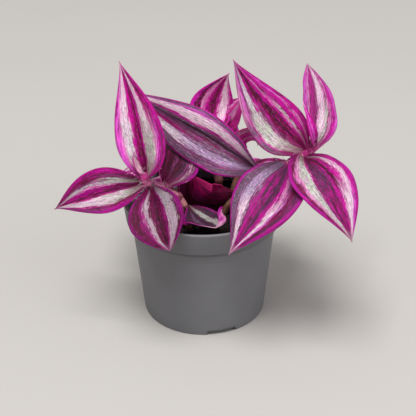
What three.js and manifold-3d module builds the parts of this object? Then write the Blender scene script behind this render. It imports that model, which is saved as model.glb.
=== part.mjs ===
// Potted tradescantia: a 6 cm nursery pot of black soil with five leafy stems.
// Millimetres, +Z up. The origin is the middle of the pot's foot, on the surface that it stands on.
// The front of the plant faces -Y.
import * as THREE from "three";
import Module from "manifold-3d";
import { mergeVertices } from "three/addons/utils/BufferGeometryUtils.js";

const wasm = await Module();
wasm.setup();

// Driving dimensions of the pot
const POT_HEIGHT = 47.3;
const RIM_RADIUS = 30;
const RIM_BAND_HEIGHT = 9;
const RIM_BAND_FOOT_RADIUS = 28.9;
const RIM_STEP = 1.9;
const FOOT_RADIUS = 23.2;
const WALL = 1.2;
const LIP = 0.8;
const LIP_BEVEL = 0.3;
const BAND_SLOPE = 0.3;
const FLOOR_RISE = 1.6;
const FOOT_NOTCH_WIDTH = 11;
const FOOT_NOTCH_DEPTH = 4;
const FOOT_NOTCH_ANGLES = [-74, 46, 166];
const DRAIN_RADIUS = 2.4;
const DRAIN_CIRCLE = 13;
const DRAIN_SIDES = 16;
const POT_SEGMENTS = 40;

// Driving dimensions of what stands in it
const GAP = 0.3;
const SOIL_TOP = 39.6;
const SOIL_LUMP = 0.7;
const SOIL_RINGS = 6;
const STEM_RADIUS = 1.2;
const STEM_SIDES = 8;
const STEM_STEPS_PER_POINT = 3;
const SHEATH_WALL = 0.6;
const SHEATH_HEIGHT = 1.8;
const SHEATH_RADIUS = STEM_RADIUS + GAP + SHEATH_WALL;
const CLASP_HALF_WIDTH = 1.6;
const CLASP_FOLD = 55;
const BLADE_THICKNESS = 0.7;
const BLADE_TIP_HALF_WIDTH = 0.35;
const LONG_LEAF = 32;
const LONG_LEAF_ROWS = 11;
const SHORT_LEAF_ROWS = 7;

// Materials, coloured after the plant: the pot is matte grey, the leaves are magenta and purple.
function finish(color, roughness) {
  return new THREE.MeshStandardMaterial({ color, roughness, metalness: 0 });
}

const potPlastic = () => finish(0x636467, 0.62);
const blackSoil = () => finish(0x17110f, 0.95);
const roseStem = () => finish(0xb0607c, 0.55);
const stripedLeaf = () => finish(0xa52c86, 0.48);
const shadedLeaf = () => finish(0x6b1149, 0.55);
const youngLeaf = () => finish(0xd59ab4, 0.5);

// Solids: a closed mesh becomes a manifold for joins and cuts, and a manifold becomes a mesh again.
function solid(geometry) {
  const bare = geometry.clone();
  bare.deleteAttribute("normal");
  bare.deleteAttribute("uv");
  const merged = mergeVertices(bare, 1e-4);
  const made = new wasm.Manifold(
    new wasm.Mesh({
      numProp: 3,
      vertProperties: new Float32Array(merged.attributes.position.array),
      triVerts: new Uint32Array(merged.index.array),
    }),
  );
  return made;
}

// The largest closed body of a solid: a cut can leave a crumb beside it.
function mainBody(body) {
  const bodies = body.decompose();
  bodies.sort((a, b) => b.volume() - a.volume());
  return bodies[0];
}

function geometryOf(body) {
  const mesh = body.getMesh();
  const geometry = new THREE.BufferGeometry();
  geometry.setAttribute("position", new THREE.BufferAttribute(new Float32Array(mesh.vertProperties), 3));
  geometry.setIndex(new THREE.BufferAttribute(new Uint32Array(mesh.triVerts), 1));
  geometry.computeVertexNormals();
  return geometry;
}

function namedMesh(name, body, material) {
  const mesh = new THREE.Mesh(geometryOf(body), material);
  mesh.name = name;
  return mesh;
}

// A solid of revolution round +Z from [radius, height] pairs that close on themselves or end on the axis.
function turned(profile, segments) {
  const lathe = new THREE.LatheGeometry(profile.map(([r, z]) => new THREE.Vector2(r, z)), segments);
  lathe.rotateX(Math.PI / 2);
  return solid(lathe);
}

// An upright cylinder between two heights.
function post(radius, low, high, x, y, sides) {
  const cylinder = new THREE.CylinderGeometry(radius, radius, high - low, sides);
  cylinder.rotateX(Math.PI / 2);
  cylinder.translate(x, y, (low + high) / 2);
  return solid(cylinder);
}

// Pot: outer and inner wall radius at a height, with the step below the rim band.
const RIM_BAND_FOOT = POT_HEIGHT - RIM_BAND_HEIGHT;
const BODY_TOP_RADIUS = RIM_BAND_FOOT_RADIUS - RIM_STEP;

function bodyRadius(height) {
  return THREE.MathUtils.mapLinear(height, 0, RIM_BAND_FOOT, FOOT_RADIUS, BODY_TOP_RADIUS);
}

function makePot() {
  const innerStep = RIM_BAND_FOOT - WALL;
  const innerTop = RIM_RADIUS - WALL;
  const innerBandFoot = RIM_BAND_FOOT_RADIUS - WALL;
  const floorTop = FLOOR_RISE + WALL;
  const profile = [
    [0, FLOOR_RISE],
    [bodyRadius(FLOOR_RISE) - WALL, FLOOR_RISE],
    [FOOT_RADIUS - WALL, 0],
    [FOOT_RADIUS, 0],
    [bodyRadius(FLOOR_RISE), FLOOR_RISE],
    [BODY_TOP_RADIUS, RIM_BAND_FOOT],
    [RIM_BAND_FOOT_RADIUS, RIM_BAND_FOOT + BAND_SLOPE],
    [RIM_RADIUS, POT_HEIGHT - LIP],
    [RIM_RADIUS - LIP_BEVEL, POT_HEIGHT],
    [innerTop + LIP_BEVEL, POT_HEIGHT],
    [innerTop, POT_HEIGHT - LIP],
    [innerBandFoot, RIM_BAND_FOOT + BAND_SLOPE],
    [BODY_TOP_RADIUS - WALL, innerStep],
    [bodyRadius(floorTop) - WALL, floorTop],
    [0, floorTop],
  ];
  let pot = turned(profile, POT_SEGMENTS);
  for (const degrees of FOOT_NOTCH_ANGLES) {
    const notch = new THREE.BoxGeometry(2 * FOOT_NOTCH_DEPTH, FOOT_NOTCH_WIDTH, 2 * FLOOR_RISE);
    notch.translate(FOOT_RADIUS, 0, 0);
    notch.rotateZ(THREE.MathUtils.degToRad(degrees));
    pot = pot.subtract(solid(notch));
  }
  for (const degrees of FOOT_NOTCH_ANGLES) {
    const turn = THREE.MathUtils.degToRad(degrees + 60);
    const x = DRAIN_CIRCLE * Math.cos(turn);
    const y = DRAIN_CIRCLE * Math.sin(turn);
    pot = pot.subtract(post(DRAIN_RADIUS, 0, 2 * floorTop, x, y, DRAIN_SIDES));
  }
  return pot;
}

// Soil surface: a few sines of unlike lengths make low lumps that fade out at the wall.
function soilHeight(x, y) {
  const lumps =
    Math.sin(0.61 * x + 0.4) * Math.cos(0.53 * y - 0.8) +
    0.6 * Math.sin(1.07 * x - 0.9 * y + 1.3) +
    0.4 * Math.cos(1.63 * y + 0.7 * x);
  const fade = 1 - Math.pow(Math.hypot(x, y) / RIM_RADIUS, 6);
  return SOIL_TOP + SOIL_LUMP * lumps * fade;
}

function makeSoil(stemHoles) {
  const clear = WALL + GAP;
  const bottom = FLOOR_RISE + WALL + GAP;
  const step = RIM_BAND_FOOT - WALL;
  const edge = RIM_BAND_FOOT_RADIUS - clear;
  const profile = [
    [0, bottom],
    [bodyRadius(bottom) - clear, bottom],
    [BODY_TOP_RADIUS - clear, step],
    [edge, RIM_BAND_FOOT + WALL - BAND_SLOPE],
  ];
  for (let ring = 0; ring <= SOIL_RINGS; ring += 1) {
    profile.push([edge * (1 - ring / SOIL_RINGS), SOIL_TOP]);
  }
  const lathe = new THREE.LatheGeometry(profile.map(([r, z]) => new THREE.Vector2(r, z)), POT_SEGMENTS / 2);
  lathe.rotateX(Math.PI / 2);
  const place = lathe.attributes.position;
  for (let i = 0; i < place.count; i += 1) {
    if (place.getZ(i) > SOIL_TOP - 0.01) {
      place.setZ(i, soilHeight(place.getX(i), place.getY(i)));
    }
  }
  let soil = solid(lathe);
  for (const hole of stemHoles) {
    soil = soil.subtract(hole);
  }
  return soil;
}

// Stems: each is a round tube along a smooth curve through points chosen by eye.
// A leaf's place on a stem is counted in these points, so 2.5 is halfway from the third to the fourth.
const stemPoints = {
  stem_left: [
    [-4, -14, 30],
    [-6, -13, 46],
    [-8, -11.5, 51.5],
    [-13, -11, 55.5],
    [-18, -14, 59],
    [-20.5, -15, 61.5],
    [-21, -14.5, 63.5],
  ],
  stem_right: [
    [4, -2, 30],
    [8.5, -4, 44],
    [15, -5.5, 52],
    [21, -7.5, 60],
    [29.5, -9, 64.5],
    [36.5, -7, 67],
    [40.5, -5, 70],
  ],
  stem_centre: [
    [7, 6, 30],
    [6, 8, 47],
    [4.5, 10, 58],
    [1, 12, 65],
    [0.5, 13, 69],
  ],
  stem_back_left: [
    [-8, 9, 30],
    [-11, 13, 46],
    [-14, 17, 54],
    [-17, 19, 62],
  ],
  stem_back_right: [
    [9, 10, 30],
    [12, 14, 43.5],
    [15.5, 16.5, 49],
    [20, 18, 50],
  ],
};

function stemCurve(stem) {
  const points = stemPoints[stem].map(([x, y, z]) => new THREE.Vector3(x, y, z));
  return new THREE.CatmullRomCurve3(points, false, "catmullrom", 0.5);
}

// A round tube along the stem's curve, with both ends pulled in by a set length.
function stemTube(stem, radius, shorter) {
  const section = new THREE.Shape();
  for (let side = 0; side < STEM_SIDES; side += 1) {
    const turn = (2 * Math.PI * side) / STEM_SIDES;
    const x = radius * Math.cos(turn);
    const y = radius * Math.sin(turn);
    if (side === 0) {
      section.moveTo(x, y);
    } else {
      section.lineTo(x, y);
    }
  }
  const curve = stemCurve(stem);
  const last = curve.points.length - 1;
  curve.points[0].addScaledVector(curve.getTangent(0), shorter);
  curve.points[last].addScaledVector(curve.getTangent(1), -shorter);
  const steps = last * STEM_STEPS_PER_POINT;
  return solid(new THREE.ExtrudeGeometry(section, { steps, extrudePath: curve, bevelEnabled: false }));
}

// Leaves: each row says where the leaf leaves its stem and how its blade lies.
// heading is the compass turn of its tip (0 is +X, -90 the front), rise its climb and roll its bank, in
// degrees. arch and sway bow the midrib up and sideways. widest is where along it the blade is broadest, and
// point how drawn out its tip is. fold and curl are the slopes beside the midrib and at the margin, and lop
// widens one half and narrows the other.
const leaves = [
  {
    name: "leaf_left_front", stem: "stem_left", at: 4.0, heading: -73, rise: -32, length: 25,
    arch: 2.5, sway: 1.5, roll: 29, width: 21.5, widest: 0.52, point: 1, fold: 25, curl: 9,
  },
  {
    name: "leaf_left_side", stem: "stem_left", at: 4.6, heading: 174, rise: -19.5, length: 35,
    arch: 3, sway: -3.5, roll: -72, width: 17, widest: 0.36, point: 1.4, fold: 23, curl: -2, lop: 0.1,
  },
  {
    name: "leaf_left_upright", stem: "stem_left", at: 5.1, heading: 140, rise: 74, length: 42,
    arch: 2.5, sway: -0.5, roll: -60, width: 20, widest: 0.35, point: 1.3, fold: 36, curl: 12, lop: 0.05,
  },
  {
    name: "leaf_left_young", stem: "stem_left", at: 5.9, heading: -128, rise: 72, length: 11.5,
    arch: -1, sway: 1.5, width: 5, fold: 58, curl: 58, young: true,
  },
  {
    name: "leaf_left_shaded", stem: "stem_left", at: 3.2, heading: 84, rise: 21, length: 20,
    arch: 3, sway: 3.5, roll: 32, width: 18, widest: 0.41, point: 0.9, fold: 8, curl: 16, shaded: true,
  },
  {
    name: "leaf_across", stem: "stem_right", at: 3.0, heading: 167, rise: 28.5, length: 55,
    arch: 0.5, sway: -0.5, roll: -91, width: 22, widest: 0.4, point: 1.25, fold: 17, curl: -6, lop: -0.05,
  },
  {
    name: "leaf_front_middle", stem: "stem_right", at: 4.0, heading: -127.5, rise: -28.5, length: 40,
    arch: 3, sway: -2, roll: 1, width: 27.5, widest: 0.38, point: 1.3, fold: 17, curl: -2.5, lop: -0.08,
  },
  {
    name: "leaf_front_right", stem: "stem_right", at: 4.7, heading: -67, rise: -21, length: 38.5,
    arch: 5, sway: -0.5, roll: -3, width: 24.3, widest: 0.38, point: 1.2, fold: 13, curl: -8, lop: 0.14,
  },
  {
    name: "leaf_right_upright", stem: "stem_right", at: 5.1, heading: 164, rise: 50, length: 41,
    arch: -2.5, sway: 1.7, roll: -58, width: 19.5, widest: 0.28, point: 1.2, fold: 9, curl: -18, lop: -0.1,
  },
  {
    name: "leaf_right_small", stem: "stem_right", at: 5.5, heading: 88.5, rise: 48.5, length: 31,
    arch: 1.5, sway: 3, roll: 53, width: 23.5, widest: 0.44, point: 0.95, fold: 18, curl: 0, lop: -0.05,
  },
  {
    name: "leaf_right_young", stem: "stem_right", at: 5.9, heading: -163, rise: 74.5, length: 17,
    arch: -1.5, sway: -7, roll: -70, width: 4.5, widest: 0.45, fold: 35, curl: 35, young: true,
  },
  {
    name: "leaf_centre_top", stem: "stem_centre", at: 2.9, heading: 12, rise: 74, length: 26,
    arch: 1.5, sway: -2.5, roll: 103, width: 19, widest: 0.41, point: 1.4, fold: 13, curl: -5, lop: -0.15,
  },
  {
    name: "leaf_centre_back", stem: "stem_centre", at: 3.35, heading: 26, rise: 41, length: 18,
    arch: -0.5, sway: 1, roll: -100, width: 14, widest: 0.38, fold: 16, curl: -3,
  },
  {
    name: "leaf_centre_low", stem: "stem_centre", at: 1.8, heading: 35.5, rise: 2, length: 18,
    arch: 9.5, sway: 5.5, roll: -75, width: 12.5, widest: 0.25, point: 1.6, fold: 4, curl: -8, lop: -0.2,
  },
  {
    name: "leaf_low_arched", stem: "stem_right", at: 1.71, heading: 184.5, rise: 26, length: 17.2,
    arch: -7, sway: 1.5, roll: 56, width: 22, widest: 0.6, point: 1, fold: -3, curl: 0.5, lop: -0.1, shaded: true,
  },
  {
    name: "leaf_low_rolled", stem: "stem_left", at: 1.38, heading: -56, rise: 0, length: 17.5,
    arch: -2, sway: -0.5, roll: -11, width: 18, widest: 0.58, point: 0.75, fold: 10, curl: 14, shaded: true,
  },
  {
    name: "leaf_low_bit", stem: "stem_left", at: 0.9, heading: -62, rise: 20, length: 5,
    arch: -1, sway: 1.5, width: 5, widest: 0.5, point: 0.8,
  },
  {
    name: "leaf_back_1", stem: "stem_centre", at: 1.5, heading: 94, rise: 14, length: 32,
    arch: 5, width: 19,
  },
  {
    name: "leaf_back_2", stem: "stem_back_left", at: 2.3, heading: 128, rise: 8, length: 27,
    arch: 4, width: 17,
  },
  {
    name: "leaf_back_3", stem: "stem_back_left", at: 1.6, heading: 170, rise: -26, length: 27,
    arch: 3, width: 15,
  },
  {
    name: "leaf_back_4", stem: "stem_back_right", at: 2.0, heading: 56, rise: -23, length: 26,
    arch: 4, width: 17, fold: 6, curl: -8,
  },
  {
    name: "leaf_back_5", stem: "stem_centre", at: 1.15, heading: 92, rise: -6, length: 30,
    arch: 5, width: 18,
  },
  {
    name: "leaf_back_6", stem: "stem_back_left", at: 1.2, heading: 106, rise: -5, length: 26,
    arch: 4, width: 17,
  },
  {
    name: "leaf_back_7", stem: "stem_back_left", at: 2.85, heading: -150, rise: 55, length: 19,
    arch: 2, width: 13,
  },
  {
    name: "leaf_back_8", stem: "stem_right", at: 3.6, heading: 50, rise: -42, length: 27,
    arch: 2.5, width: 18, fold: 10,
  },
  {
    name: "leaf_back_9", stem: "stem_right", at: 4.35, heading: 100, rise: 15, length: 26,
    arch: 2, width: 15,
  },
  {
    name: "leaf_back_10", stem: "stem_centre", at: 2.55, heading: 150, rise: 12, length: 24,
    arch: 3, width: 16,
  },
  {
    name: "leaf_back_11", stem: "stem_left", at: 3.5, heading: 160, rise: -25, length: 21,
    arch: 2, width: 12,
  },
  {
    name: "leaf_back_12", stem: "stem_left", at: 2.3, heading: 128, rise: -8, length: 20,
    arch: 3, width: 13,
  },
  {
    name: "leaf_back_13", stem: "stem_back_right", at: 2.85, heading: -4, rise: -12, length: 22,
    arch: 2.4, width: 15, fold: 8, curl: -4,
  },
];
const PLAIN_LEAF = { arch: 0, sway: 0, roll: 0, widest: 0.42, point: 1.25, fold: 20, curl: 0, lop: 0 };

// The stem's place and direction at a leaf's station.
function stationOf(leaf) {
  const curve = stemCurve(leaf.stem);
  const t = leaf.at / (stemPoints[leaf.stem].length - 1);
  return { place: curve.getPoint(t), along: curve.getTangent(t) };
}

// Three unit vectors of a leaf: towards its tip, up out of its face and out to its side.
function attitude(leaf) {
  const heading = THREE.MathUtils.degToRad(leaf.heading);
  const rise = THREE.MathUtils.degToRad(leaf.rise);
  const roll = THREE.MathUtils.degToRad(leaf.roll);
  const level = new THREE.Vector3(Math.cos(heading), Math.sin(heading), 0);
  const tipward = level.clone().multiplyScalar(Math.cos(rise));
  tipward.z = Math.sin(rise);
  const up = level.clone().multiplyScalar(-Math.sin(rise));
  up.z = Math.cos(rise);
  const side = new THREE.Vector3().crossVectors(tipward, up);
  const face = up.clone().multiplyScalar(Math.cos(roll)).addScaledVector(side, Math.sin(roll));
  return { tipward, up, side, face };
}

// Half width along the midrib, 0 to 1: it climbs to the widest place and runs out in a drawn point.
function outline(leaf, t) {
  const climb = (leaf.point * leaf.widest) / (1 - leaf.widest);
  return Math.pow(t / leaf.widest, climb) * Math.pow((1 - t) / (1 - leaf.widest), leaf.point);
}

// The blade is a sheet over a parabolic midrib. Across it the slope turns evenly from the fold beside the
// midrib to the curl at the margin, so each half is an arc. Near the stem the sheet clasps it in a steep fold.
function bladePoint(leaf, lie, t, s, margin) {
  const start = lie.start;
  const bow = lie.up.clone().multiplyScalar(leaf.arch).addScaledVector(lie.side, leaf.sway);
  const midrib = start.clone().addScaledVector(lie.tipward, leaf.length * t);
  midrib.addScaledVector(bow, 4 * t * (1 - t));
  const tangent = lie.tipward.clone().multiplyScalar(leaf.length).addScaledVector(bow, 4 - 8 * t).normalize();
  const normal = lie.face.clone().addScaledVector(tangent, -lie.face.dot(tangent)).normalize();
  const across = new THREE.Vector3().crossVectors(tangent, normal);
  const shape = outline(leaf, t);
  const clasp = CLASP_HALF_WIDTH * Math.pow(1 - t, 4) * (1 - shape);
  const half = Math.max((leaf.width / 2) * shape + clasp, BLADE_TIP_HALF_WIDTH) + margin;
  const near = Math.pow(1 - t, 5);
  const fold = THREE.MathUtils.degToRad(THREE.MathUtils.lerp(leaf.fold, CLASP_FOLD, near));
  const curl = THREE.MathUtils.degToRad(THREE.MathUtils.lerp(leaf.curl, CLASP_FOLD, near)) + 1e-4;
  const turn = curl - fold;
  const slope = fold + turn * Math.abs(s);
  const lop = 1 + leaf.lop * s;
  const out = (Math.sign(s) * lop * half * (Math.sin(slope) - Math.sin(fold))) / turn;
  const lift = (lop * half * (Math.cos(fold) - Math.cos(slope))) / turn;
  return midrib.addScaledVector(across, out).addScaledVector(normal, lift);
}

// A closed sheet: the same grid of triangles above and below the blade's surface, joined round the edge.
function bladeSheet(leaf, lie, margin) {
  const rows = leaf.length > LONG_LEAF ? LONG_LEAF_ROWS : SHORT_LEAF_ROWS;
  const halves = leaf.length > LONG_LEAF ? 3 : 2;
  const columns = 2 * halves;
  const sheet = [];
  for (let row = 0; row <= rows; row += 1) {
    for (let column = 0; column <= columns; column += 1) {
      sheet.push(bladePoint(leaf, lie, row / rows, column / halves - 1, margin));
    }
  }
  const index = (row, column) => row * (columns + 1) + column;
  const count = sheet.length;
  const faces = [];
  for (let row = 0; row < rows; row += 1) {
    for (let column = 0; column < columns; column += 1) {
      const a = index(row, column);
      const b = index(row, column + 1);
      const c = index(row + 1, column + 1);
      const d = index(row + 1, column);
      const quads = column < halves ? [[a, b, c], [a, c, d]] : [[a, b, d], [b, c, d]];
      for (const [i, j, k] of quads) {
        faces.push([i, j, k]);
        faces.push([i + count, k + count, j + count]);
      }
    }
  }
  const rim = [];
  for (let column = 0; column < columns; column += 1) {
    rim.push(index(0, column));
  }
  for (let row = 0; row < rows; row += 1) {
    rim.push(index(row, columns));
  }
  for (let column = columns; column > 0; column -= 1) {
    rim.push(index(rows, column));
  }
  for (let row = rows; row > 0; row -= 1) {
    rim.push(index(row, 0));
  }
  rim.forEach((i, n) => {
    const j = rim[(n + 1) % rim.length];
    faces.push([i, i + count, j + count]);
    faces.push([i, j + count, j]);
  });
  const normals = sheet.map(() => new THREE.Vector3());
  for (const [i, j, k] of faces) {
    if (Math.max(i, j, k) < count) {
      const first = sheet[j].clone().sub(sheet[i]);
      const second = sheet[k].clone().sub(sheet[i]);
      const normal = first.cross(second);
      [i, j, k].forEach((corner) => normals[corner].add(normal));
    }
  }
  const positions = [];
  for (const offBlade of [BLADE_THICKNESS / 2 + margin, -BLADE_THICKNESS / 2 - margin]) {
    sheet.forEach((point, i) => {
      const offset = normals[i].clone().normalize().multiplyScalar(offBlade);
      positions.push(...point.clone().add(offset).toArray());
    });
  }
  const geometry = new THREE.BufferGeometry();
  geometry.setAttribute("position", new THREE.Float32BufferAttribute(positions, 3));
  geometry.setIndex(faces.flat());
  return solid(geometry);
}

// A short sleeve round the stem, as thick as asked for beyond the stem's clearance.
function sleeve(leaf, radius, height) {
  const { place, along } = stationOf(leaf);
  const cylinder = new THREE.CylinderGeometry(radius, radius, height, STEM_SIDES);
  const turn = new THREE.Quaternion().setFromUnitVectors(new THREE.Vector3(0, 1, 0), along);
  cylinder.applyQuaternion(turn);
  cylinder.translate(place.x, place.y, place.z);
  return solid(cylinder);
}

// A leaf's blade, or with a margin all round, the room that it needs.
function bladeOf(row, margin) {
  const leaf = { ...PLAIN_LEAF, ...row };
  const { place, along } = stationOf(leaf);
  const lie = attitude(leaf);
  const outward = lie.tipward.clone().addScaledVector(along, -lie.tipward.dot(along)).normalize();
  lie.start = place.clone().addScaledVector(outward, SHEATH_RADIUS - SHEATH_WALL / 2);
  return bladeSheet(leaf, lie, margin);
}

// A leaf is its blade and its sheath as one body, bored for the stem. It is kept clear of the other sheaths
// on its stem, and its foot is trimmed where it would cross the foot of a leaf listed before it.
function makeLeaf(row, bore) {
  let body = bladeOf(row, 0).add(sleeve(row, SHEATH_RADIUS, SHEATH_HEIGHT));
  for (const other of leaves) {
    if (other.stem === row.stem && other.name !== row.name) {
      body = body.subtract(sleeve(other, SHEATH_RADIUS + GAP, SHEATH_HEIGHT + 2 * GAP));
    }
  }
  for (const other of leaves.slice(0, leaves.indexOf(row))) {
    if (other.stem === row.stem) {
      body = body.subtract(bladeOf(other, GAP));
    }
  }
  return mainBody(body.subtract(bore));
}

function leafMaterial(row) {
  if (row.young) {
    return youngLeaf();
  }
  return row.shaded ? shadedLeaf() : stripedLeaf();
}

const group = new THREE.Group();
const bores = {};
for (const stem of Object.keys(stemPoints)) {
  bores[stem] = stemTube(stem, STEM_RADIUS + GAP, 0);
}
group.add(namedMesh("pot", makePot(), potPlastic()));
group.add(namedMesh("soil", makeSoil(Object.values(bores)), blackSoil()));
for (const stem of Object.keys(stemPoints)) {
  group.add(namedMesh(stem, stemTube(stem, STEM_RADIUS, GAP), roseStem()));
}
for (const row of leaves) {
  group.add(namedMesh(row.name, makeLeaf(row, bores[row.stem]), leafMaterial(row)));
}

export default group;
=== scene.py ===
import math

import bpy
import numpy as np
from mathutils import Matrix, Vector


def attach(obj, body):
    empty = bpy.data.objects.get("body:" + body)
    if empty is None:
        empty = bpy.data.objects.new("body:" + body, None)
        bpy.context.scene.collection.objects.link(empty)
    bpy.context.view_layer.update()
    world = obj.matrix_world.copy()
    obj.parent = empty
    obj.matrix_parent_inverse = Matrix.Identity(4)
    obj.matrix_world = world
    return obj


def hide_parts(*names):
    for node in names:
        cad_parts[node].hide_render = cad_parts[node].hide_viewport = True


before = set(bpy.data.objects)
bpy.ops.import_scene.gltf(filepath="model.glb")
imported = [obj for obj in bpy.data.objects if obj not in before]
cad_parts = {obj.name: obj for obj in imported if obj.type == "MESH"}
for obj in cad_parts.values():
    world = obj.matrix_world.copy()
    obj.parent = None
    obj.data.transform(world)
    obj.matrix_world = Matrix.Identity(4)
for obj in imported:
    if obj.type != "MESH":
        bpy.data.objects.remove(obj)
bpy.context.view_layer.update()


# Camera: a long lens that stands in front of the pot, 41 cm from its foot, and looks down at the
# plant. Its focal length is counted in pixels of the square picture.
MM = 0.001
LENS_PIXELS = 1048
PICTURE_PIXELS = 416
SENSOR_WIDTH = 36
NEAREST, FARTHEST = 0.02, 20
CAMERA_PLACE = Vector((0, -340.5, 234.9)) * MM
LOOK_DOWN = 29.6
LOOK_RIGHT = 0.28
LEAN = 0.4
lens = bpy.data.cameras.new("camera")
lens.sensor_width = SENSOR_WIDTH
lens.lens = SENSOR_WIDTH * LENS_PIXELS / PICTURE_PIXELS
lens.clip_start, lens.clip_end = NEAREST, FARTHEST
camera = bpy.data.objects.new("camera", lens)
bpy.context.collection.objects.link(camera)
stand = Matrix.Translation(CAMERA_PLACE)
for degrees, axis in ((-LOOK_RIGHT, "Z"), (90 - LOOK_DOWN, "X"), (-LEAN, "Z")):
    stand = stand @ Matrix.Rotation(math.radians(degrees), 4, axis)
camera.matrix_world = stand
bpy.context.scene.camera = camera
bpy.context.scene.view_settings.view_transform = "Standard"


# Pot: one thin shell of grey polypropylene, moulded matte, with a rim band that stands proud of the
# wall. Its foot ring is cut by three notches, and the floor above them has three drainage holes.
class Number:
    """A number that varies over a surface. Arithmetic on it adds Math nodes to its finish."""

    def __init__(self, finish, socket):
        self.finish = finish
        self.socket = socket

    def __add__(self, other):
        return self.finish.maths("ADD", self, other)

    def __radd__(self, other):
        return self.finish.maths("ADD", other, self)

    def __sub__(self, other):
        return self.finish.maths("SUBTRACT", self, other)

    def __rsub__(self, other):
        return self.finish.maths("SUBTRACT", other, self)

    def __mul__(self, other):
        return self.finish.maths("MULTIPLY", self, other)

    def __rmul__(self, other):
        return self.finish.maths("MULTIPLY", other, self)

    def between(self, low, high):
        """0 below low, 1 above high, and an eased climb from one to the other."""
        settings = {"interpolation_type": "SMOOTHSTEP"}
        inputs = {"Value": self, "From Min": low, "From Max": high}
        return self.finish.node("MapRange", settings, inputs)


class Finish:
    """A procedural material, whose numbers and colours come from node() and the words below it."""

    def __init__(self, name, **sockets):
        self.material = bpy.data.materials.new(name)
        self.material.use_nodes = True
        self.tree = self.material.node_tree
        self.surface = self.tree.nodes["Principled BSDF"]
        self.set(**sockets)

    def feed(self, socket, value):
        """Links a Number to a socket, or sets anything else on it."""
        if isinstance(value, Number):
            self.tree.links.new(value.socket, socket)
        else:
            socket.default_value = value

    def node(self, kind, settings=None, inputs=None, output=0):
        """A node of a type, with its settings made first and then its sockets filled or linked."""
        made = self.tree.nodes.new("ShaderNode" + kind)
        for name, value in (settings or {}).items():
            if name == "stops":
                stops = made.color_ramp.elements
                while len(stops) < len(value):
                    stops.new(1)
                for stop, (position, colour) in zip(stops, value):
                    stop.position = position
                    stop.color = colour
            else:
                setattr(made, name, value)
        for name, value in (inputs or {}).items():
            self.feed(made.inputs[name], value)
        return Number(self, made.outputs[output])

    def set(self, **sockets):
        """Sets or links sockets of the surface: base_color, roughness and so on."""
        for name, value in sockets.items():
            title = name.replace("_", " ").title().replace("Ior", "IOR")
            self.feed(self.surface.inputs[title], value)

    def maths(self, operation, first, second):
        return self.node("Math", {"operation": operation}, {0: first, 1: second})

    def blend(self, mask, low, high):
        """The low colour where the mask is 0, and the high one where it is 1."""
        return self.node("Mix", {"data_type": "RGBA"}, {0: mask, 6: low, 7: high}, 2)

    def shade(self, colour, value):
        """A colour made lighter or darker by a number near 1."""
        return self.node("HueSaturation", {}, {"Color": colour, "Value": value})

    def place(self, stretch=(1, 1, 1)):
        """Object coordinates in metres, stretched."""
        position = self.node("TexCoord", output="Object")
        return self.node("Mapping", {}, {"Vector": position, "Scale": stretch})

    def axis(self, vector, letter):
        """The X, Y or Z of a vector."""
        return self.node("SeparateXYZ", {}, {"Vector": vector}, letter)

    def climb(self, low, high):
        """0 below one height in millimetres, 1 above another, and an eased climb between them."""
        return self.axis(self.place(), "Z").between(low * MM, high * MM)

    def noise(self, vector, scale, detail=2.0, roughness=0.5):
        """Fractal noise about 0.5, with so many lumps to a unit of the vector."""
        inputs = {"Vector": vector, "Scale": scale, "Detail": detail, "Roughness": roughness}
        return self.node("TexNoise", {}, inputs, "Fac")

    def bump(self, height, distance):
        """Relief as high as distance, in millimetres, where the height number is 1."""
        self.set(normal=self.node("Bump", {}, {"Height": height, "Distance": distance * MM}))


def paint(code):
    """A hex colour as the linear red, green, blue and alpha that a socket takes."""
    shown = np.array([int(code[i : i + 2], 16) for i in (1, 3, 5)]) / 255
    linear = np.where(shown <= 0.04045, shown / 12.92, ((shown + 0.055) / 1.055) ** 2.4)
    return (*linear.tolist(), 1.0)


def grid_faces(rows, columns, wrap=False):
    """The quads of a grid of points, row by row. With wrap, the last column joins the first."""
    here = np.arange(columns if wrap else columns - 1)
    beside = (here + 1) % columns
    row = columns * np.arange(rows - 1)[:, None]
    corners = [row + here, row + beside, row + columns + beside, row + columns + here]
    return np.stack(corners, -1).reshape(-1, 4)


def tube_faces(rows, around, count=1):
    """The faces of tubes whose points follow one another ring by ring: quads round each tube, and a
    cap over its first ring and its last. They point outwards where the rings turn as a screw that
    drives along the tube."""
    ring = np.arange(around)
    starts = rows * around * np.arange(count)[:, None, None]
    quads = grid_faces(rows, around, wrap=True) + starts
    caps = np.stack([ring[::-1], ring + (rows - 1) * around]) + starts
    return [quads.reshape(-1, 4), caps.reshape(-1, around)]


def volume(points, faces):
    """Six times the volume between faces and the origin: each face is a fan of triangles about its
    first corner, and the triple products of their corners are summed."""
    corners = points[faces]
    return np.einsum("ij,ikj->", corners[:, 0], np.cross(corners[:, 1:-1], corners[:, 2:]))


def shape(name, points, faces, materials=(), smooth=True):
    """A mesh object from points in millimetres and arrays of faces, one array for each number of
    corners. All faces are reversed where the volume inside them would be negative, so that they
    point outwards."""
    points = np.asarray(points, float).reshape(-1, 3)
    if sum(volume(points, part) for part in faces) < 0:
        faces = [part[:, ::-1] for part in faces]
    mesh = bpy.data.meshes.new(name)
    mesh.from_pydata((points * MM).tolist(), [], [face for part in faces for face in part.tolist()])
    for material in materials:
        mesh.materials.append(material)
    mesh.polygons.foreach_set("use_smooth", [smooth] * len(mesh.polygons))
    made = bpy.data.objects.new(name, mesh)
    bpy.context.collection.objects.link(made)
    return made


def piece(name, points, faces, materials):
    """A shape that rides on the root body and has a material slot."""
    made = shape(name, points, faces, materials)
    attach(made, "root")
    return made


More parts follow.
